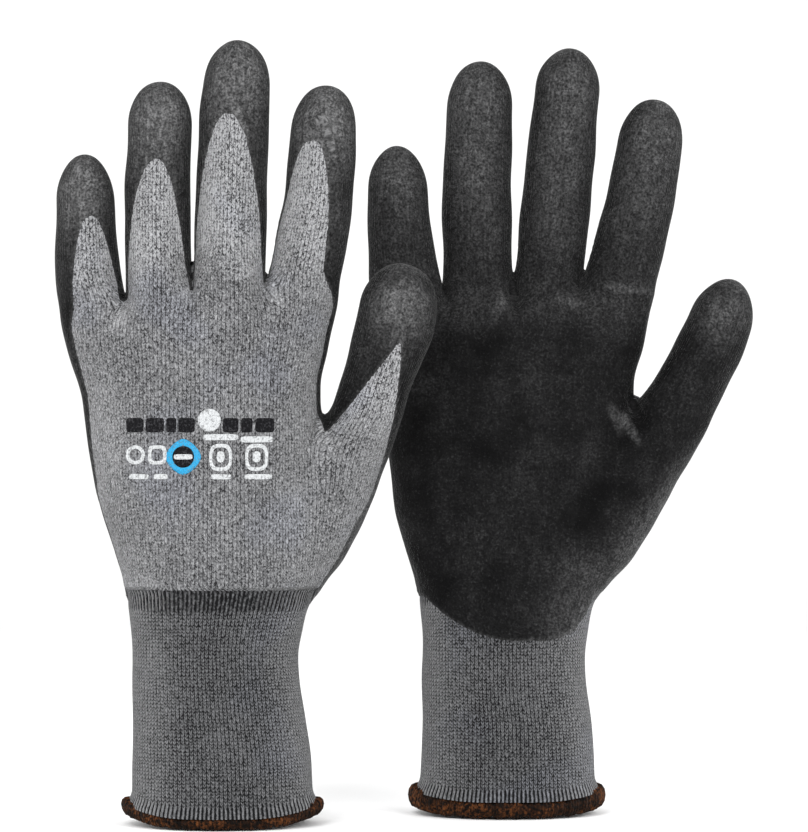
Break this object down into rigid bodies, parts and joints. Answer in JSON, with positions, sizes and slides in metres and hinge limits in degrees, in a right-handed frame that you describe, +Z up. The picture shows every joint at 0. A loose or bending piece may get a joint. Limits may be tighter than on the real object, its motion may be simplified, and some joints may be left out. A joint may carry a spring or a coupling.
{
  "type": "pair of work gloves",
  "caption": "Pair of knitted work gloves, upright on their ribbed cuffs, with a dark foam dip over palms and fingertips; fingers and thumbs bend.",
  "frame": {"origin": "on the floor under the middle of the pair's bounding box", "axes": "+Z up from the cuffs to the fingertips; -Y faces the viewer, who sees the back of the left glove and the palm of the right one; +X runs from the left glove to the right one"},
  "size_m": [0.228, 0.0852, 0.2561],
  "materials": {
    "hand_knit": "matt grey melange knit",
    "cuff_knit": "matt darker grey ribbed knit",
    "elastic_yarn": "matt pale elastic yarn",
    "hem_yarn": "dark brown overlock thread",
    "foam_coating": "matt near-black foam with a fine grain",
    "coated_knit": "knit and foam where a digit bends",
    "print_film": "thin printed transfer"
  },
  "bodies": {
    "left_hand": {"left_cuff_hem": "hem_yarn", "left_cuff": "cuff_knit", "left_wrist_elastic": "elastic_yarn", "left_hand_liner": "hand_knit", "left_palm_coating": "foam_coating", "left_print_film": "print_film", "left_thumb_flex_band": "coated_knit", "left_index_flex_band": "coated_knit", "left_middle_flex_band": "coated_knit", "left_ring_flex_band": "coated_knit", "left_little_flex_band": "coated_knit"},
    "left_thumb": {"left_thumb_liner": "hand_knit", "left_thumb_coating": "foam_coating"},
    "left_index": {"left_index_liner": "hand_knit", "left_index_coating": "foam_coating"},
    "left_middle": {"left_middle_liner": "hand_knit", "left_middle_coating": "foam_coating"},
    "left_ring": {"left_ring_liner": "hand_knit", "left_ring_coating": "foam_coating"},
    "left_little": {"left_little_liner": "hand_knit", "left_little_coating": "foam_coating"},
    "right_hand": {"right_cuff_hem": "hem_yarn", "right_cuff": "cuff_knit", "right_wrist_elastic": "elastic_yarn", "right_hand_liner": "hand_knit", "right_palm_coating": "foam_coating", "right_print_film": "print_film", "right_thumb_flex_band": "coated_knit", "right_index_flex_band": "coated_knit", "right_middle_flex_band": "coated_knit", "right_ring_flex_band": "coated_knit", "right_little_flex_band": "coated_knit"},
    "right_thumb": {"right_thumb_liner": "hand_knit", "right_thumb_coating": "foam_coating"},
    "right_index": {"right_index_liner": "hand_knit", "right_index_coating": "foam_coating"},
    "right_middle": {"right_middle_liner": "hand_knit", "right_middle_coating": "foam_coating"},
    "right_ring": {"right_ring_liner": "hand_knit", "right_ring_coating": "foam_coating"},
    "right_little": {"right_little_liner": "hand_knit", "right_little_coating": "foam_coating"}
  },
  "joints": [
    {"name": "left_thumb_swing", "type": "hinge", "parent": "left_hand", "child": "left_thumb", "pos_m": [-0.01043, -0.01783, 0.143], "axis": [0, -1, 0], "range_deg": [-15, 15], "stiffness_Nm_per_rad": 0.02, "deforming": ["left_thumb_flex_band"]},
    {"name": "left_index_bend", "type": "hinge", "parent": "left_hand", "child": "left_index", "pos_m": [-0.03112, -0.01645, 0.19], "axis": [-0.9835, 0, 0.1807], "range_deg": [0, 80], "stiffness_Nm_per_rad": 0.02, "deforming": ["left_index_flex_band"]},
    {"name": "left_middle_bend", "type": "hinge", "parent": "left_hand", "child": "left_middle", "pos_m": [-0.0573, -0.01806, 0.193], "axis": [-1, 0, 0.01], "range_deg": [0, 80], "stiffness_Nm_per_rad": 0.02, "deforming": ["left_middle_flex_band"]},
    {"name": "left_ring_bend", "type": "hinge", "parent": "left_hand", "child": "left_ring", "pos_m": [-0.08098, -0.01701, 0.19], "axis": [-1, 0, -0.01], "range_deg": [0, 80], "stiffness_Nm_per_rad": 0.02, "deforming": ["left_ring_flex_band"]},
    {"name": "left_little_bend", "type": "hinge", "parent": "left_hand", "child": "left_little", "pos_m": [-0.10368, -0.0138, 0.184], "axis": [-0.996, 0, -0.0896], "range_deg": [0, 80], "stiffness_Nm_per_rad": 0.02, "deforming": ["left_little_flex_band"]},
    {"name": "right_thumb_swing", "type": "hinge", "parent": "right_hand", "child": "right_thumb", "pos_m": [0.09714, 0.013, 0.149], "axis": [0, -1, 0], "range_deg": [-8, 22], "stiffness_Nm_per_rad": 0.02, "deforming": ["right_thumb_flex_band"]},
    {"name": "right_index_bend", "type": "hinge", "parent": "right_hand", "child": "right_index", "pos_m": [0.07371, 0.0165, 0.191], "axis": [0.9707, 0, -0.2402], "range_deg": [0, 80], "stiffness_Nm_per_rad": 0.02, "deforming": ["right_index_flex_band"]},
    {"name": "right_middle_bend", "type": "hinge", "parent": "right_hand", "child": "right_middle", "pos_m": [0.04887, 0.0181, 0.194], "axis": [0.9927, 0, -0.1203], "range_deg": [0, 80], "stiffness_Nm_per_rad": 0.02, "deforming": ["right_middle_flex_band"]},
    {"name": "right_ring_bend", "type": "hinge", "parent": "right_hand", "child": "right_ring", "pos_m": [0.02386, 0.01705, 0.194], "axis": [1, 0, 0.01], "range_deg": [0, 80], "stiffness_Nm_per_rad": 0.02, "deforming": ["right_ring_flex_band"]},
    {"name": "right_little_bend", "type": "hinge", "parent": "right_hand", "child": "right_little", "pos_m": [-0.00199, 0.01388, 0.189], "axis": [0.996, 0, 0.0896], "range_deg": [0, 80], "stiffness_Nm_per_rad": 0.02, "deforming": ["right_little_flex_band"]},
    {"name": "right_glove_slide", "type": "slide", "parent": "left_hand", "child": "right_hand", "axis": [1, 0, 0], "range_m": [0, 0.15]}
  ]
}
